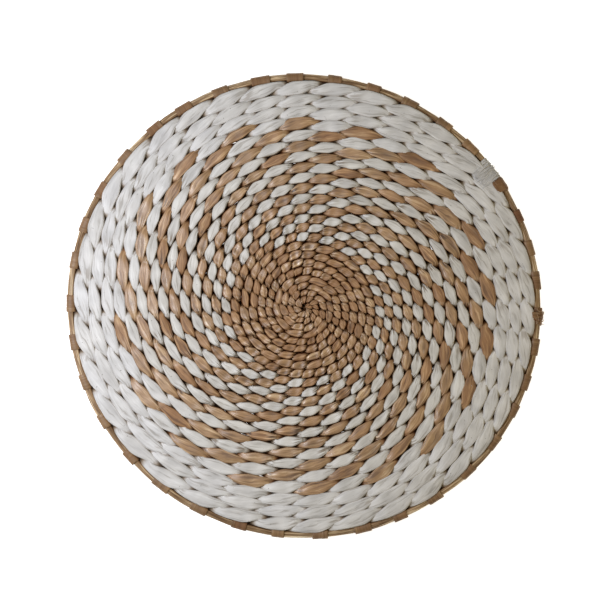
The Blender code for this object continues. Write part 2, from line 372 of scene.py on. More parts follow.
def streak(tree, vector, width, length, detail, seed, distortion=0.0):
    """Noise drawn out along the fibres, in streaks of this width and length in millimetres."""
    scale = (1.0 / width, 1.0 / width, 1.0 / length)
    start = (seed, seed * 1.7, seed * 0.3)
    moved = node(tree, "ShaderNodeMapping", {"Vector": vector, "Scale": scale, "Location": start})
    noise = {
        "Vector": moved.outputs[0],
        "Scale": 1.0,
        "Detail": detail,
        "Roughness": 0.6,
        "Distortion": distortion,
    }
    return node(tree, "ShaderNodeTexNoise", noise, noise_dimensions="3D").outputs[0]


def attribute(tree, name):
    return node(tree, "ShaderNodeAttribute", attribute_name=name).outputs["Fac"]


# Colour of the dark specks on painted strand, and of the dark and the pale fibres where a stitch frays.
SPECK = (0.09, 0.07, 0.05)
NATURAL_SPLIT = ((0.09, 0.045, 0.02), (0.62, 0.47, 0.33))
WHITE_SPLIT = ((0.27, 0.22, 0.17), (0.80, 0.79, 0.77))


def fibre_material(
    name, stops, tones, deep, rough, bump, width, gloss, sheen=0.04, paint=None, split=NATURAL_SPLIT
):
    """A fibre streaked along the strand, painted darker and duller down between the stitches as shade.

    stops are the colours of its streaks, and tones the tints from stitch to stitch. deep is the colour of
    the shade painted down in the gaps and along fold grooves, rough the roughness of dark and pale streaks,
    bump their depth in metres, and width their width in millimetres. paint is (colour of the bare fibre
    under the paint, how much of it shows), and split the colours of a frayed stitch's fibres.
    """
    material = bpy.data.materials.new(name)
    material.use_nodes = True
    tree = material.node_tree
    shader = tree.nodes["Principled BSDF"]
    place = node(tree, "ShaderNodeAttribute", attribute_name="fibre").outputs["Vector"]
    tone = attribute(tree, "tone")
    crevice_shade = attribute(tree, "crevice_shade")
    comb = attribute(tree, "comb")
    groove = attribute(tree, "groove")

    fine = streak(tree, place, width, 16.0, 3.0, 3.1)
    broad = streak(tree, place, width * 3.2, 30.0, 2.0, 7.7, 0.2)
    patch = streak(tree, place, 7.0, 12.0, 1.0, 11.3)
    blend = added(tree, product(tree, fine, 0.55), product(tree, broad, 0.45))
    colour = ramp(tree, blend, stops)
    colour = mix_colour(tree, 1.0, colour, ramp(tree, tone, tones), "MULTIPLY")
    shade = ramp(tree, patch, ((0.3, grey(0.86)), (0.7, grey(1.08))))
    colour = mix_colour(tree, 1.0, colour, shade, "MULTIPLY")
    if paint is not None:
        bare_colour, bare_share = paint
        wear_and_highlight = streak(tree, place, width, 9.0, 3.0, 19.0)
        bare = ramp(tree, wear_and_highlight, ((0.62, grey(0.0)), (0.75, grey(1.0))))
        colour = mix_colour(tree, product(tree, bare, bare_share), colour, solid(bare_colour))
        specks = streak(tree, place, 0.9, 1.6, 2.0, 31.0)
        specks = ramp(tree, specks, ((0.72, grey(0.0)), (0.75, grey(1.0))))
        colour = mix_colour(tree, product(tree, specks, 0.8), colour, solid(SPECK))

    lines = streak(tree, place, width * 1.3, 14.0, 1.0, 23.0)
    dark_lines = ramp(tree, lines, ((0.40, grey(1.0)), (0.47, grey(0.0))))
    pale_lines = ramp(tree, lines, ((0.54, grey(0.0)), (0.62, grey(1.0))))
    for frayed, split_colour in zip((dark_lines, pale_lines), split):
        colour = mix_colour(tree, product(tree, frayed, comb), colour, solid(split_colour))
    # Painted shade along the fold grooves: the colour is drawn toward deep there.
    colour = mix_colour(tree, groove, colour, mix_colour(tree, 0.6, colour, solid(deep)))
    # Painted shade in the crevices: a warm brown tint, then deep, where shade falls.
    warm = ramp(tree, crevice_shade, ((0.0, grey(1.0)), (0.6, (0.86, 0.69, 0.50))))
    colour = mix_colour(tree, 1.0, colour, warm, "MULTIPLY")
    colour = mix_colour(tree, crevice_shade, colour, solid(deep))
    tree.links.new(colour, shader.inputs["Base Color"])

    roughness = ramp(tree, blend, ((0.4, grey(rough[0])), (0.6, grey(rough[1]))))
    dull = ramp(tree, tone, ((0.2, grey(0.8)), (0.5, grey(0.0))))
    roughness = mix_colour(tree, dull, roughness, solid(grey(0.78)))
    roughness = mix_colour(tree, crevice_shade, roughness, solid(grey(1.0)))
    tree.links.new(roughness, shader.inputs["Roughness"])
    # The specular tint also dims in the painted crevice shade, so no grey reflection shows there.
    shaded_specular_tint = mix_colour(tree, crevice_shade, solid(grey(1.0)), (0.30, 0.06, 0.0, 1.0))
    tree.links.new(shaded_specular_tint, shader.inputs["Specular Tint"])
    shader.inputs["Sheen Weight"].default_value = sheen
    shader.inputs["Sheen Roughness"].default_value = 0.5
    shader.inputs["Specular IOR Level"].default_value = gloss

    height = added(tree, product(tree, fine, 0.5), product(tree, broad, 0.5))
    height = added(tree, height, product(tree, product(tree, lines, comb), 1.5))
    bumped = node(tree, "ShaderNodeBump", {"Height": height, "Distance": bump, "Strength": 1.0})
    tree.links.new(bumped.outputs[0], shader.inputs["Normal"])
    return material


def make_materials():
    natural = fibre_material(
        "natural_strand",
        stops=(
            (0.39, (0.20, 0.108, 0.050)),
            (0.455, (0.34, 0.198, 0.099)),
            (0.53, (0.42, 0.255, 0.134)),
            (0.61, (0.63, 0.45, 0.28)),
        ),
        tones=(
            (0.0, (0.80, 0.66, 0.49)),
            (0.33, (0.96, 0.86, 0.73)),
            (0.60, (1.0, 0.99, 0.97)),
            (1.0, (1.14, 1.17, 1.18)),
        ),
        # Colour of the painted shade down between stitches and in fold grooves.
        deep=(0.032, 0.007, 0.001),
        rough=(0.52, 0.31),
        bump=0.0005,
        width=0.5,
        gloss=0.95,
        sheen=0.0,
    )
    white = fibre_material(
        "white_strand",
        stops=(
            (0.38, (0.47, 0.45, 0.425)),
            (0.45, (0.66, 0.65, 0.635)),
            (0.55, (0.71, 0.70, 0.69)),
            (0.64, (0.79, 0.785, 0.775)),
        ),
        tones=((0.0, (0.92, 0.89, 0.82)), (0.4, (0.97, 0.95, 0.91)), (1.0, (1.02, 1.02, 1.04))),
        # Colour of the painted shade between stitches, partly the bare brown fibre under the paint.
        deep=(0.026, 0.012, 0.005),
        rough=(0.75, 0.6),
        bump=0.0007,
        width=0.5,
        gloss=0.3,
        paint=((0.50, 0.42, 0.33), 0.3),
        split=WHITE_SPLIT,
    )
    stake = fibre_material(
        "stake_strip",
        stops=(
            (0.37, (0.185, 0.100, 0.045)),
            (0.45, (0.220, 0.124, 0.057)),
            (0.55, (0.250, 0.146, 0.070)),
            (0.68, (0.36, 0.235, 0.125)),
        ),
        tones=(
            (0.0, (0.80, 0.58, 0.48)),
            (0.3, (1.0, 0.92, 0.85)),
            (0.7, grey(1.0)),
            (1.0, (1.35, 1.37, 1.35)),
        ),
        # Colour of the painted shade on the hidden stakes and on the bands' inner side.
        deep=(0.030, 0.012, 0.005),
        rough=(0.6, 0.45),
        bump=0.00015,
        width=0.8,
        gloss=0.5,
    )
    rim = fibre_material(
        "rim_cane",
        stops=(
            (0.39, (0.12, 0.062, 0.027)),
            (0.46, (0.250, 0.150, 0.074)),
            (0.53, (0.34, 0.218, 0.115)),
            (0.60, (0.66, 0.50, 0.31)),
        ),
        # The pale bluish top of these tints is reached along the painted highlight on the hoop's outer top.
        tones=((0.0, (0.75, 0.70, 0.64)), (0.5, grey(1.0)), (1.0, (1.75, 1.95, 2.2))),
        # Colour of the painted shade on the hoop's inner side.
        deep=(0.028, 0.012, 0.005),
        rough=(0.55, 0.4),
        bump=0.0004,
        width=0.7,
        gloss=0.3,
    )
    return natural, white, stake, rim


# ---------------------------------------------------------------- strands


class Weave:
    """The rows: where each place along the spiral is, with the small irregularities of handwork.

    A place is a number of stitches along the spiral from its inner end, and each whole one is at a stake.
    """

    def __init__(self, crossings):
        inside = [crossings[0] + CENTRE_STEP_DEG * (CENTRE_STITCHES - n) for n in range(CENTRE_STITCHES)]
        outside = [crossings[-1] - 360.0 / 37.0 * n for n in (1, 2)]
        self.base = np.array(inside + crossings + outside)
        self.true = spaced(self.base)
        self.index = np.arange(len(self.base), dtype=float)
        rng = np.random.default_rng(WEAVE_SEED)
        size = (2, len(self.base) + 2)
        self.wide = rng.normal(0.0, 0.045, size)
        self.shift = rng.normal(0.0, 0.045, size)
        self.out = rng.normal(0.0, 0.025, size)
        self.high = rng.normal(0.0, 0.16, size)
        self.tone = np.clip(rng.normal(0.5, 0.22, size), 0.0, 1.0)
        self.comb = rng.random(size)
        self.fold = rng.random(size)
        self.fold_at = rng.uniform(-0.9, 0.9, size)
        self.phases = rng.uniform(0.0, 2.0 * math.pi, (2, 4, len(self.base) + 2))

    def along(self, place):
        """(turn, true angle, radius of the row's middle, row pitch) at these places."""
        base = np.interp(place, self.index, self.base)
        angle = np.interp(place, self.index, self.true)
        turn = turn_at(base)
        first_row = np.maximum(-1.2, spiral_radius(turn) - 3.6 + 0.9 * eased(turn))
        inner = np.where(turn < 1.0, first_row, self.edge(turn))
        outer = self.edge(turn + 1.0)
        push = BEATEN_OUT + BEATEN_OUT_VARIES * np.cos(np.radians(angle - BEATEN_MOST_DEG))
        inner = inner + push * self.packed(turn)
        outer = outer + push * self.packed(turn + 1.0)
        wave = 0.35 * np.sin(np.radians(3.0 * angle) + 0.35 * turn)
        wave = wave + 0.25 * np.sin(np.radians(7.0 * angle) - 0.5 * turn)
        wave = wave - 0.8 * eased(turn / 5.0) * (1.0 - eased((turn - 11.0) / 6.0))
        wave = wave + 0.5 * eased((turn - 12.0) / 5.0)
        wave = wave * eased(turn / 4.0) * (1.0 - eased((turn - 20.0) / 2.0))
        return turn, angle, 0.5 * (inner + outer) + wave, outer - inner

    @staticmethod
    def edge(turn):
        """Where a row's inner edge runs. Past the last row it closes up to the hoop."""
        closing = eased((turn - CLOSING_TURN) / CLOSING_OVER)
        between = 0.5 * (spiral_radius(turn - 1.0) + spiral_radius(turn))
        return between * (1.0 - closing) + WEFT_LIMIT * closing

    @staticmethod
    def packed(turn):
        """How far a row takes part in being beaten out against the hoop: 0 inside, 1 at the rim."""
        closing = eased((turn - CLOSING_TURN) / CLOSING_OVER)
        return eased((turn - END_TURN + BEATEN_ROWS) / 5.0) * (1.0 - closing)

    @staticmethod
    def blended(values, strand, place, sharp=False):
        """A stitch's own value, running into its neighbour's in the gap between them."""
        low = np.floor(place).astype(int)
        share = place - low
        share = eased((share - 0.35) / 0.3) if sharp else eased(share)
        row = values[strand]
        return row[low] * (1.0 - share) + row[low + 1] * share


def section_angles():
    """Angles round a strand, closer together on its two faces. 0 faces up."""
    upper = np.linspace(-100.0, 100.0, 13)
    lower = np.linspace(100.0, 260.0, 9)[1:-1]
    return np.radians(np.concatenate([upper, lower]))


def strand_mesh(weave, name, parity, first, last, material):
    """One length of strand between two places, behind every other stake and in front of the rest."""
    places = [step + np.arange(RINGS) / RINGS for step in range(first, last)]
    place = np.concatenate(places + [np.array([float(last)])])
    turn, angle, middle, pitch = weave.along(place)
    near_centre = 1.0 - eased(turn / 6.0)
    loose = 1.0 + (1.0 - eased((turn - 1.0) / 7.0))
    wide = weave.blended(weave.wide, parity, place) * loose
    shift = weave.blended(weave.shift, parity, place) * loose
    out = weave.blended(weave.out, parity, place) * loose
    high = weave.blended(weave.high, parity, place)
    phase = math.pi * (place + parity - shift)
    lift = np.cos(phase - math.pi * LEAN)
    bulk = np.cos(phase - 0.5 * math.pi * LEAN) ** 2
    outer_rows = eased((turn - 16.5) / 3.5)
    pointed = eased((turn - 9.5) / 8.0)
    shape_rows = FULL_SHAPE_ROWS + FULL_SHAPE_POINTED * pointed
    full = bulk ** (FULL_SHAPE_CENTRE + (shape_rows - FULL_SHAPE_CENTRE) * eased((turn - 5.0) / 5.0))
    gap = GAP_NARROW + GAP_NARROW_RIM * outer_rows
    width = (gap + (FULLNESS - gap) * full) * (1.0 + wide + 0.07 * near_centre)
    half_r = pitch * (0.25 + 0.25 * full) * width
    half_z = FLAT_HALF + (ROUND_HALF - FLAT_HALF) * (1.0 - bulk)
    side = np.sin(phase)
    centre_r = middle + pitch * (np.sign(side) * 0.25 * (1.0 - full) + out)
    lift_shape = LIFT_SHAPE + LIFT_SHAPE_POINTED * pointed
    centre_z = np.sign(lift) * np.abs(lift) ** lift_shape * (LIFT + high * 0.6)
    top = HALF_DEPTH - half_z
    centre_z = np.clip(centre_z, -top, top + 0.5)
    round_it = section_angles()
    count = len(round_it)
    spin = ROLL * side[:, None] + round_it[None, :]
    sine, cosine = np.sin(spin), np.cos(spin)
    square = (SQUARE_MIDDLE + (SQUARE_RIM - SQUARE_MIDDLE) * eased((turn - 12.0) / 8.0))[:, None]
    off_r = np.sign(sine) * np.abs(sine) ** square * half_r[:, None]
    off_z = np.sign(cosine) * np.abs(cosine) ** square * half_z[:, None]
    # The fold groove sinks the surface and also carries painted shade into the colour.
    groove = fold_groove(weave, parity, place, round_it)
    smooth = WHITE_SMOOTHNESS if "white" in name else 0.0
    groove = groove * (1.0 - smooth)
    lobes = (crease(weave, parity, place, round_it) - 1.0) * (1.0 - 0.5 * smooth)
    scale = 1.0 + lobes - groove * FOLD_DEPTH
    r = centre_r[:, None] + off_r * scale
    z = centre_z[:, None] + off_z * scale
    z = np.clip(z, -HALF_DEPTH, HALF_DEPTH + TOP_PROUD)
    ends = np.minimum(place - first, last - place)
    tuck = 1.0 - 0.25 * (1.0 - eased(ends / 0.3))
    r = centre_r[:, None] + (r - centre_r[:, None]) * tuck[:, None]
    points = placed(r, angle[:, None], z)
    run = np.cumsum(np.abs(np.gradient(np.radians(angle))) * middle) + 400.0 * parity + 37.0 * first
    fibre = stacked(FIBRE_RADIUS * np.cos(round_it), FIBRE_RADIUS * np.sin(round_it), run[:, None])
    inner_rows = 1.0 - eased((turn - 4.0) / 8.0)
    # Painted shade on side walls and low between stitches; on white strand partly bare fibre under the
    # paint.
    level = np.abs(cosine) ** square
    wall_low, wall_high = 0.66 + 0.15 * inner_rows, 0.92 + 0.035 * inner_rows
    side_wall_shade = 1.0 - eased((level - wall_low[:, None]) / (wall_high - wall_low)[:, None])
    side_wall_shade = side_wall_shade * (0.95 - 0.75 * outer_rows)[:, None]
    height = np.abs(z) / HALF_DEPTH
    low_down_shade = (1.0 - eased((height - 0.2) / 0.45)) * (1.0 - 0.1 * outer_rows)[:, None]
    crevice_shade = 1.0 - (1.0 - side_wall_shade) * (1.0 - low_down_shade)
    tone = np.repeat(weave.blended(weave.tone, parity, place, sharp=True)[:, None], count, axis=1)
    if "white" in name:
        tone = 0.25 + 0.3 * tone + (0.35 * outer_rows)[:, None]
    else:
        tone = np.clip(tone - (0.19 * inner_rows)[:, None], 0.0, 1.0)
    comb = comb_marks(weave, parity, place, shift, count) * (1.0 - 0.5 * outer_rows)[:, None]
    marks = {"tone": tone, "crevice_shade": crevice_shade, "comb": comb, "groove": groove}
    return mesh_from_grid(name, points, material, fibre, marks)


def crease(weave, parity, place, round_it):
    """Lengthwise lobes of the bundled leaf, drifting from stitch to stitch."""
    low = np.clip(np.floor(place - 0.5).astype(int), 0, len(weave.base))
    share = eased(place - 0.5 - low)
    total = np.ones((len(place), len(round_it)))
    for number, (lobes, size) in enumerate(((3, 0.035), (5, 0.035), (7, 0.03), (11, 0.02))):
        phases = weave.phases[parity, number]
        one = np.cos(lobes * round_it[None, :] + phases[low][:, None])
        other = np.cos(lobes * round_it[None, :] + phases[low + 1][:, None])
        total += size * (one * (1.0 - share[:, None]) + other * share[:, None])
    return total


def fold_groove(weave, parity, place, round_it):
    """A deep fold along some stitches."""
    low = np.clip(np.floor(place + 0.5).astype(int), 0, len(weave.base) + 1)
    has = weave.fold[parity][low] < FOLDED_SHARE
    at = weave.fold_at[parity][low]
    within = eased(1.0 - np.abs(place - low) * 2.1)
    line = np.exp(-(((round_it[None, :] - at[:, None]) / 0.2) ** 2))
    return line * (has * within)[:, None]


def comb_marks(weave, parity, place, shift, count):
    """Where a stitch frays into separate fibres, at the inner end of some of them."""
    low = np.clip(np.floor(place + 0.5 - shift).astype(int), 0, len(weave.base) + 1)
    has = np.clip((weave.comb[parity][low] - 0.48) / 0.3, 0.0, 1.0)
    ahead = low - place + shift
    toward = eased((ahead - 0.02) / 0.3)
    return np.repeat((has * toward)[:, None], count, axis=1)


# ---------------------------------------------------------------- rim and stakes


# A strip's section, as shares of its half width and half thickness.
STRIP_SECTION = ((1, 0), (0.8, 1), (0, 1), (-0.8, 1), (-1, 0), (-0.8, -1), (0, -1), (0.8, -1))
# The same points in order for a strip that comes from the other side.
MIRRORED_SECTION = [4, 3, 2, 1, 0, 7, 6, 5]
STAKE_HALF_THICK = 0.8
STAKE_STEP = 9.0
# Where the stakes through the centre part into an upper and a lower layer, and how far each one goes.
CROSSING_RADIUS = 4.4
CROSSING_HEIGHT = 1.0
# Where a stake of 12 starts beside the centre, and where every stake ends under its band.
STAKE_INNER_END = 5.6
STAKE_OUTER_END = 181.0
# How far a stake runs on past the row where its number of stakes changes, and where an added one starts.
STAKE_OVERRUN = 2.2
ADDED_START = 0.3
# How far from the hoop's middle a strip laid over it lies.
HOOP_SURFACE = 3.15

# The white strand's end, the broad tie and the knot, and how far each stands from its stake or gap.
WHITE_END_DEG = 37.0
WHITE_END_SHIFT = -0.9
TUFTS = 40
TUFTS_PER_LAYER = 14
TUFT_STEP_DEG = 0.42
FRAYED_FIBRES = 22
BAND_BESIDE_END_DEG = 43.0
BAND_BESIDE_END_SHIFT = 1.5
TIE_DEG = 32.3
TIE_SHIFT = -0.5
KNOT_DEG = 357.7
KNOT_CURLS = 34
HAIRS = 150


def stage_angles(slot):
    """Even angles of a slot of 37 where there are 12, 25 and 37 stakes."""
    angles = {37: FIRST_OF_37 + slot * 360.0 / 37.0}
    if slot % 3 != 2:
        of_25 = 2 * (slot // 3) + slot % 3
        angles[25] = FIRST_OF_37 + of_25 * 360.0 / 25.0
        if slot % 3 == 0 and slot // 3 < 12:
            angles[12] = FIRST_OF_12 + slot // 3 * 360.0 / 12.0
    return angles


def turn_of(base_deg, whole):
    return whole + float(turn_at(base_deg)) % 1.0


def stage_start(stages, count, turns, first_stage):
    """The radius at which a stake's stretch among this many stakes starts."""
    start = turn_of(stages[count], turns)
    here, before = float(spiral_radius(start)), float(spiral_radius(start - 1.0))
    return here + ADDED_START * (before - here) if first_stage == count else here - STAKE_OVERRUN


def stage_end(stages, count, turns):
    return float(spiral_radius(turn_of(stages[count], turns - 1.0))) + STAKE_OVERRUN


def spoke_path(slot, first_stage):
    """(radius, angle) points of a spoke, from where it starts to the hoop."""
    stages = stage_angles(slot)
    path = []
    if first_stage == 12:
        angle = float(spaced(stages[12]))
        path.append((STAKE_INNER_END, angle))
        path.append((stage_end(stages, 12, TURNS_WITH_25), angle))
    if first_stage <= 25:
        angle = float(spaced(stages[25]))
        path.append((stage_start(stages, 25, TURNS_WITH_25, first_stage), angle))
        path.append((stage_end(stages, 25, TURNS_WITH_37), angle))
    angle = float(spaced(stages[37]))
    path.append((stage_start(stages, 37, TURNS_WITH_37, first_stage), angle))
    path.append((STAKE_OUTER_END, angle))
    return path


def stake_half_width(radius):
    radii = (0.0, 6.0, 12.0, 60.0, 80.0, 120.0, 200.0)
    return float(np.interp(radius, radii, (2.2, 2.2, 0.65, 0.65, 1.5, 2.0, 2.0)))


def stake_rings(path, z=0.0):
    """Rings of eight points along a stake."""
    rings = []
    for radius, angle in path:
        half = stake_half_width(radius)
        ring = []
        for across, up in STRIP_SECTION:
            ring.append(placed(radius, angle, z + up * STAKE_HALF_THICK, across * half))
        rings.append(ring)
    return np.array(rings)


def densify(path):
    out = [path[0]]
    for (r0, a0), (r1, a1) in zip(path, path[1:]):
        count = max(1, int(abs(r1 - r0) / STAKE_STEP))
        for n in range(1, count + 1):
            share = n / count
            out.append((r0 + (r1 - r0) * share, a0 + (a1 - a0) * share))
    return out


# A band across its width: shares of its half width, and how proud it stands there.
BAND_ACROSS = np.array([-1.0, -1.0, -0.92, -0.5, 0.0, 0.5, 0.92, 1.0, 1.0])
BAND_PROUD = np.array([0.0, 0.86, 1.0, 1.0, 0.95, 1.0, 1.0, 0.86, 0.0])
BAND_STEPS = 22
BAND_SQUARENESS = 3.2
BAND_HALF_WIDTH = 6.4
NARROW_PASS_SHARE = 0.4


def band_mesh(
    name, angle, half, material, rng, tone, reach=3.1, thick=1.0, start_deg=205.0, sweep=340.0, skew=0.0
):
    """A flat strip wound round the hoop, seen in section as a rounded square."""
    across = BAND_ACROSS
    turns = np.radians(start_deg - sweep * np.linspace(0.0, 1.0, BAND_STEPS))
    waver = rng.normal(0.0, 0.02, (BAND_STEPS, len(across)))
    out_r, out_z = np.cos(turns), np.sin(turns)
    power = BAND_SQUARENESS
    square = (np.abs(out_r) ** power + np.abs(out_z) ** power) ** (-1.0 / power)
    slip = skew * np.sin(turns)
    edge = rng.normal(0.0, 0.12, (2, BAND_STEPS))
    rows_out, rows_in = [], []
    for n in range(BAND_STEPS):
        side = across * half + slip[n]
        side = side + np.where(across < 0.0, edge[0, n], edge[1, n]) * np.abs(across)
        under = reach * (0.55 + 0.45 * square[n])
        outer = under + thick * BAND_PROUD + waver[n] * BAND_PROUD
        inner = np.full(len(across), under - 0.05)
        rows_out.append(placed(HOOP_RADIUS + outer * out_r[n], angle, outer * out_z[n], side))
        rows_in.append(placed(HOOP_RADIUS + inner * out_r[n], angle, inner * out_z[n], side))
    points = np.concatenate([np.array(rows_out), np.array(rows_in)[:, ::-1]], axis=1)
    shape = points.shape[:2]
    both = np.concatenate([across, across[::-1]]) * half
    layer = np.repeat([0.4, 0.0], len(across))
    run = np.linspace(0.0, 26.0, BAND_STEPS) + 61.0 * angle
    fibre = stacked(both, layer, run[:, None])
    # Painted shade: the band's run round the hoop's inner side, toward the weave, is darkened.
    inward_shade = np.broadcast_to(eased((-out_r[:, None] - 0.6) / 0.3), shape)
    return mesh_from_grid(name, points, material, fibre, {"tone": np.full(shape, tone), "crevice_shade": inward_shade})


# By default a strip carries a share of painted crevice shade, as the stakes lie hidden under the stitches.
def strip_mesh(name, rings, material, tone=0.4, crevice_shade=0.35):
    shape = rings.shape[:2]
    section = np.array(STRIP_SECTION, float) * (2.0, 0.8)
    run = np.linspace(0.0, 200.0, shape[0])
    fibre = stacked(section[:, 0], section[:, 1], run[:, None])
    marks = {"tone": np.full(shape, tone), "crevice_shade": np.full(shape, crevice_shade)}
    return mesh_from_grid(name, rings, material, fibre, marks)


def add_stakes(material, rim_bands):
    """Every stake with the bands that it makes on the hoop."""
    for number, (end, opposite, layer) in enumerate(THROUGH_STAKES, 1):
        halves = []
        for slot in (3 * end, 3 * opposite):
            angle = float(spaced(stage_angles(slot)[12]))
            crossing = stake_rings([(CROSSING_RADIUS, angle)], layer * CROSSING_HEIGHT)
            halves.append(np.concatenate([crossing, stake_rings(densify(spoke_path(slot, 12)))]))
        second = halves[1][::-1][:, MIRRORED_SECTION]
        name = f"stake_through_{number}"
        meshes = [strip_mesh(name, np.concatenate([second, halves[0]]), material)]
        meshes += rim_bands(3 * end) + rim_bands(3 * opposite)
        add_piece("wrapped_" + name, meshes, name)
    number = 0
    for slot in range(37):
        stages = stage_angles(slot)
        if 12 in stages:
            continue
        number += 1
        name = f"stake_added_{number:02d}"
        rings = stake_rings(densify(spoke_path(slot, 25 if 25 in stages else 37)))
        meshes = [strip_mesh(name, rings, material)] + rim_bands(slot)
        add_piece("wrapped_" + name, meshes, name)


def make_rim_bands(material):
    """A function that makes a slot's bands: a broad one, and on some a narrow pass beside it."""
    rng = np.random.default_rng(BAND_SEED)
    # Each slot's (half width, skew, tone, draw for a narrow pass, its side, seed of its own).
    style = {}
    for slot in range(37):
        style[slot] = (
            float(np.clip(rng.normal(BAND_HALF_WIDTH, 0.6), 5.0, 7.6)),
            float(rng.normal(0.0, 0.5)),
            float(np.clip(rng.normal(0.5, 0.22), 0.0, 1.0)),
            rng.random(),
            float(rng.choice((-1.0, 1.0))),
            int(rng.integers(1, 10000)),
        )

    def rim_bands(slot):
        half, skew, tone, second, side, seed = style[slot]
        own = np.random.default_rng(seed)
        angle = float(spaced(stage_angles(slot)[37])) + float(own.normal(0.0, 0.25))
        if abs(turned(angle - BAND_BESIDE_END_DEG)) < 3.0:
            angle += BAND_BESIDE_END_SHIFT
        made = [band_mesh(f"band_{slot}", angle, half, material, own, tone, skew=skew)]
        if second < NARROW_PASS_SHARE:
            narrow = float(own.uniform(1.2, 2.4))
            beside = angle + math.degrees(side * (half - narrow + 0.5) / HOOP_RADIUS)
            lighter = min(1.0, tone + 0.3)
            name = f"pass_{slot}"
            made.append(
                band_mesh(name, beside, narrow, material, own, lighter, 3.5, 0.75, 200.0, 320.0, skew * 0.5)
            )
        return made

    return rim_bands


def turned(angle_deg):
    """The same angle between -180 and 180 degrees."""
    return (angle_deg + 180.0) % 360.0 - 180.0


def add_hoop(material):
    """The bent cane, a little uneven, with low ridges, a painted highlight along its outer top and painted
    shade inside.
    """
    steps, around = 37 * 12, 18
    rng = np.random.default_rng(HOOP_SEED)
    angle = np.linspace(0.0, 360.0, steps, endpoint=False) + float(spaced(stage_angles(0)[37]))
    a = np.radians(angle)
    turn = np.radians(np.linspace(0.0, 360.0, around, endpoint=False))
    phases = rng.uniform(0.0, 2.0 * math.pi, 12)
    sway = 0.25 * np.sin(5 * a + phases[0]) + 0.2 * np.sin(13 * a + phases[1])
    sway = sway + 0.12 * np.sin(31 * a + phases[2])
    size = 3.05 + 0.12 * np.sin(9 * a + phases[3]) + 0.1 * np.sin(23 * a + phases[4])
    ridge = (
        0.05 * np.cos(5 * turn[None, :] + 4.0 * np.sin(2 * a + phases[5])[:, None])
        + 0.045 * np.cos(8 * turn[None, :] + 5.0 * np.sin(3 * a + phases[6])[:, None])
    )
    section = size[:, None] * (1.0 + ridge)
    r = HOOP_RADIUS + sway[:, None] + section * np.cos(turn)[None, :]
    z = 0.15 * np.sin(7 * a + phases[7])[:, None] + section * np.sin(turn)[None, :]
    points = placed(r, angle[:, None], z)
    tone = 0.4 + 0.12 * np.sin(4 * a + phases[8]) + 0.1 * np.sin(11 * a + phases[9])
    # Painted highlight: a pale line along the hoop's outer top, where the light catches it, raises the
    # tone.
    painted_highlight_line = np.exp(-(((turn - math.radians(38.0)) / 0.5) ** 2))
    wear_and_highlight = painted_highlight_line[None, :] * (0.3 + 0.2 * np.sin(17 * a + phases[10]))[:, None]
    tone = np.clip(tone[:, None] + wear_and_highlight, 0.0, 1.0)
    fibre = stacked(section * np.cos(turn), section * np.sin(turn), HOOP_RADIUS * a[:, None])
    # Painted shade on the hoop's inner side, toward the weave.
    inward_shade = np.broadcast_to(eased((-np.cos(turn)[None, :] - 0.45) / 0.4), (steps, around))
    marks = {"tone": tone, "crevice_shade": inward_shade}
    mesh = mesh_from_grid("hoop", points, material, fibre, marks, closed_along=True)
    add_piece("rim_hoop_cane", [mesh], "rim_hoop")


def over_hoop(name, angle, half, start_r, start_z, proud, material, rng, tone, end, slip):
    """A thin strip that comes off the weave, runs over the hoop and turns under it.

    end is how many of the eight points round the hoop it reaches, and slip how far sideways it ends.
    """
    wrap = HOOP_SURFACE + proud
    path = [(start_r, start_z), (0.5 * (start_r + 183.0), start_z + 0.25), (183.4, 3.9 + proud)]
    for turn in np.radians((80, 50, 20, -10, -45, -80, -120, -155)[:end]):
        path.append((HOOP_RADIUS + wrap * math.cos(turn), wrap * math.sin(turn)))
    path = np.array(path)
    steps = np.linspace(0.0, len(path) - 1.0, 3 * len(path))
    r = np.interp(steps, np.arange(len(path)), path[:, 0])
    z = np.interp(steps, np.arange(len(path)), path[:, 1])
    slide = slip * steps / steps[-1]
    thin = 1.0 - 0.7 * eased((steps / steps[-1] - 0.75) / 0.25) - 0.3 * (1.0 - eased(steps / 1.2))
    tilt_r, tilt_z = np.gradient(z), -np.gradient(r)
    size = np.hypot(tilt_r, tilt_z)
    tilt_r, tilt_z = -tilt_r / size, -tilt_z / size
    rings = []
    for n in range(len(steps)):
        ring = []
        for across, up in STRIP_SECTION:
            lift = (0.45 if up > 0 else -0.25) * up * up * thin[n] + 0.12 * rng.normal()
            side = slide[n] + across * half * thin[n]
            ring.append(placed(r[n] + tilt_r[n] * lift, angle, z[n] + tilt_z[n] * lift, side))
        rings.append(ring)
    return strip_mesh(name, np.array(rings), material, tone, 0.0)


def curl(name, start, heading, length, radius, material, rng, tone, lift, bend):
    """A loose fibre: a thin tapering hair from a point (radius, angle, height). heading is in degrees."""
    steps, around = 12, 6
    along = np.linspace(0.0, length, steps)
    turning = math.radians(heading) + bend * (along / length) ** 1.5
    out = start[0] + np.cumsum(np.cos(turning)) * length / steps
    across = np.cumsum(np.sin(turning)) * length / steps
    z = start[2] + lift * np.sin(math.pi * along / length * rng.uniform(0.6, 1.1))
    size = radius * (1.0 - 0.75 * along / length)
    spin = np.linspace(0.0, 2.0 * math.pi, around, endpoint=False)
    side_r, side_a = -np.sin(turning), np.cos(turning)
    r = out[:, None] + side_r[:, None] * size[:, None] * np.cos(spin)
    cross = across[:, None] + side_a[:, None] * size[:, None] * np.cos(spin)
    up = z[:, None] + size[:, None] * np.sin(spin)
    points = placed(r, start[1], up, cross)
    fibre = stacked(0.3 * np.cos(spin), 0.3 * np.sin(spin), along[:, None])
    return mesh_from_grid(name, points, material, fibre, {"tone": np.full((steps, around), tone)})


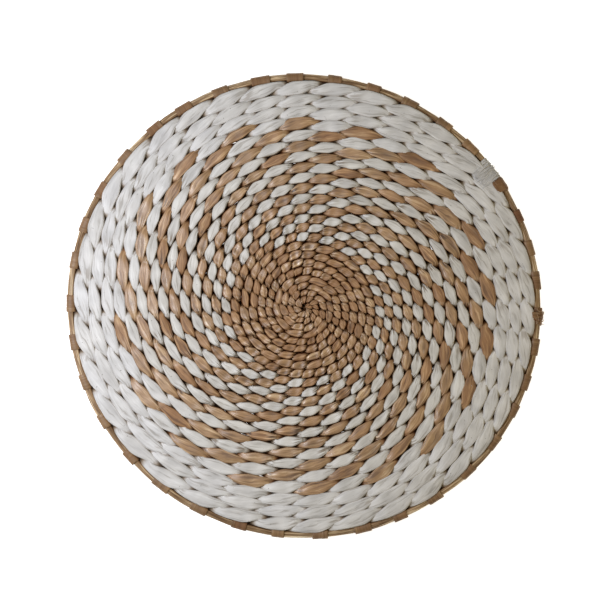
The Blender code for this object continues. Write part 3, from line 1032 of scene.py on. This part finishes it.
def add_white_wrap(material):
    """The white strand's end, laid over the hoop and frayed."""
    slots = [float(spaced(stage_angles(slot)[37])) for slot in range(-3, 3)]
    middles = [0.5 * (one + other) for one, other in zip(slots, slots[1:])]
    middle = min(middles, key=lambda value: abs(value - WHITE_END_DEG)) + WHITE_END_SHIFT
    rng = np.random.default_rng(WHITE_END_SEED)
    meshes = []
    for n in range(TUFTS):
        layer, place = divmod(n, TUFTS_PER_LAYER)
        at = middle + (place - 6.5) * TUFT_STEP_DEG + float(rng.normal(0.0, 0.12))
        half = float(rng.uniform(1.0, 1.6)) * (1.0, 0.6, 0.35)[layer]
        start = float(rng.uniform(172.0, 178.5))
        proud = float(rng.uniform(0.1, 0.45)) + 0.4 * layer
        tone = float(rng.uniform(0.7, 1.0))
        end = 8 if layer == 0 else int(rng.integers(2, 6))
        slip = float(rng.normal(0.0, 0.5 + 0.5 * layer))
        height = 4.5 + 0.2 * layer
        meshes.append(
            over_hoop(f"tuft_{n}", at, half, start, height, proud, material, rng, tone, end, slip)
        )
    for n in range(FRAYED_FIBRES):
        at = middle + float(rng.uniform(-2.8, 2.8))
        start = (float(rng.uniform(186.0, 190.4)), at, float(rng.uniform(1.5, 4.3)))
        heading = float(rng.normal(0.0, 30.0))
        tone = float(rng.uniform(0.5, 1.0))
        length, bend = float(rng.uniform(2.0, 4.2)), float(rng.normal(0.0, 0.8))
        meshes.append(curl(f"fray_{n}", start, heading, length, 0.22, material, rng, tone, 0.2, bend))
    add_piece("rim_wrap_white_end", meshes, "rim_wrap_white")


def add_broad_tie(material):
    """A broad tie beside the white end, darker than the others, that reaches in over the weave."""
    rng = np.random.default_rng(TIE_SEED)
    slots = [float(spaced(stage_angles(slot)[37])) for slot in range(37)]
    angle = min(slots, key=lambda value: abs(turned(value - TIE_DEG))) + TIE_SHIFT
    meshes = []
    for n, (shift, half, start) in enumerate(((0.0, 5.7, 180.9), (0.2, 4.4, 181.5))):
        height, proud = 4.6 + 0.25 * n, 1.1 + 0.1 * n
        meshes.append(
            over_hoop(f"tie_{n}", angle + shift, half, start, height, proud, material, rng, 0.25, 8, 0.4)
        )
    add_piece("rim_broad_tie", meshes, None)


def add_knot(material, pale_material):
    """A knotted tie at the right, with its ends curled."""
    rng = np.random.default_rng(KNOT_SEED)
    meshes = []
    for n, (shift, slip) in enumerate(((-0.7, 1.3), (0.4, -1.4), (-0.1, 0.5), (0.9, -0.4))):
        name, angle, proud, tone = f"turn_{n}", KNOT_DEG + shift, 1.1 + 0.25 * n, 0.1 + 0.2 * n
        meshes.append(over_hoop(name, angle, 1.2, 181.6, 4.3, proud, material, rng, tone, 8, slip))
    for n in range(KNOT_CURLS):
        radius = float(rng.uniform(183.5, 191.0))
        start = (radius, KNOT_DEG + float(rng.uniform(-1.6, 1.9)), float(rng.uniform(3.0, 5.2)))
        heading = float(rng.uniform(-170.0, 170.0))
        length = float(rng.uniform(2.5, 5.0))
        lift, bend = float(rng.uniform(0.6, 1.6)), float(rng.normal(0.0, 2.4))
        fibre, tone = (material, 0.2) if n % 3 == 0 else (pale_material, 0.9)
        meshes.append(curl(f"curl_{n}", start, heading, length, 0.42, fibre, rng, tone, lift, bend))
    add_piece("rim_knot", meshes, None)


def add_loose_fibres(weave, natural, white):
    """Hairs that have come away at the ends of stitches, on both faces."""
    rng = np.random.default_rng(HAIR_SEED)
    kinds = {"natural": [], "white": []}
    for n in range(HAIRS):
        place = float(rng.uniform(30.0, len(weave.base) - 12.0))
        turn, angle, middle, pitch = (float(value) for value in weave.along(np.array(place)))
        face = 1.0 if n % 3 else -1.0
        kind = "white" if turn > 20.0 or (turn > 9.0 and n % 2) else "natural"
        across = pitch * float(rng.uniform(-0.45, 0.45))
        start = (middle + across, angle, face * float(rng.uniform(4.3, 4.9)))
        heading = 90.0 + float(rng.normal(0.0, 28.0)) + (180.0 if rng.random() < 0.5 else 0.0)
        tone = float(rng.uniform(0.4, 1.0))
        length, bend = float(rng.uniform(3.0, 7.5)), float(rng.normal(0.0, 0.9))
        material = white if kind == "white" else natural
        lift = face * float(rng.uniform(0.2, 0.5))
        kinds[kind].append(curl(f"hair_{n}", start, heading, length, 0.17, material, rng, tone, lift, bend))
    for kind, meshes in kinds.items():
        add_piece(f"loose_fibres_{kind}", meshes, None)


# ---------------------------------------------------------------- scene


FLOOR_HALF = 3.0
FLOOR_DROP = 0.0002
CAMERA_DISTANCE = 1.4
CAMERA_TARGET = (0.00138, 0.0001, 0.008)
VIEW_WIDTH = 0.49572
SENSOR_WIDTH = 36.0


def add_floor():
    """A plain white floor, which glows a little so that it stays pale round the pad."""
    mesh = bpy.data.meshes.new("floor")
    corners = [(x * FLOOR_HALF, y * FLOOR_HALF, 0.0) for x, y in ((-1, -1), (1, -1), (1, 1), (-1, 1))]
    mesh.from_pydata(corners, [], [(0, 1, 2, 3)])
    material = bpy.data.materials.new("floor_white")
    material.use_nodes = True
    shader = material.node_tree.nodes["Principled BSDF"]
    shader.inputs["Base Color"].default_value = (0.92, 0.92, 0.92, 1.0)
    shader.inputs["Roughness"].default_value = 0.9
    shader.inputs["Emission Color"].default_value = (1.0, 1.0, 1.0, 1.0)
    shader.inputs["Emission Strength"].default_value = 0.85
    mesh.materials.append(material)
    floor = bpy.data.objects.new("floor", mesh)
    floor.location = (0.0, 0.0, -FLOOR_DROP)
    bpy.context.scene.collection.objects.link(floor)


def add_light(name, position, target, size, power, colour):
    data = bpy.data.lights.new(name, "AREA")
    data.shape = "DISK"
    data.size = size
    data.energy = power
    data.color = colour
    light = bpy.data.objects.new(name, data)
    light.location = position
    aim = np.array(target) - np.array(position)
    light.rotation_euler = Vector(aim.tolist()).to_track_quat("-Z", "Y").to_euler()
    bpy.context.scene.collection.objects.link(light)


def add_lights():
    """A cool soft light from the left, a weak warm one from the right, and a dim warm world."""
    add_light("key_left", (-0.36, 0.02, 0.46), (-0.06, 0.0, 0.0), 0.36, 2.95, (0.87, 0.90, 1.0))
    add_light("fill_right", (0.42, -0.06, 0.52), (0.05, 0.0, 0.0), 0.4, 0.55, (1.0, 0.76, 0.38))
    world = bpy.data.worlds.new("studio")
    world.use_nodes = True
    background = world.node_tree.nodes["Background"]
    background.inputs["Color"].default_value = (1.0, 0.95, 0.72, 1.0)
    background.inputs["Strength"].default_value = 0.21
    bpy.context.scene.world = world


def add_camera():
    """A camera straight above the pad's middle, as in the photograph."""
    data = bpy.data.cameras.new("camera")
    data.sensor_width = SENSOR_WIDTH
    data.lens = SENSOR_WIDTH * CAMERA_DISTANCE / VIEW_WIDTH
    camera = bpy.data.objects.new("camera", data)
    x, y, height = CAMERA_TARGET
    camera.location = (x, y, CAMERA_DISTANCE + height)
    bpy.context.scene.collection.objects.link(camera)
    bpy.context.scene.camera = camera


def add_strands(weave, crossings, natural, white):
    last_place = len(weave.base) - 2
    for name, parity, colour, first, last in strand_lengths(crossings):
        start = first + CENTRE_STITCHES if first > 1 else 1 - parity
        stop = last_place if last >= len(crossings) - 2 else last + CENTRE_STITCHES
        mesh = strand_mesh(weave, name, parity, start, stop, white if colour == "white" else natural)
        add_piece("twined_" + name, [mesh], name)


def main():
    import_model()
    crossings = weft_crossings()
    weave = Weave(crossings)
    natural, white, stake, rim = make_materials()
    add_strands(weave, crossings, natural, white)
    add_hoop(rim)
    add_stakes(stake, make_rim_bands(stake))
    add_white_wrap(white)
    add_broad_tie(stake)
    add_knot(stake, natural)
    add_loose_fibres(weave, natural, white)
    add_floor()
    add_lights()
    add_camera()
    bpy.context.scene.view_settings.view_transform = "Standard"


main()
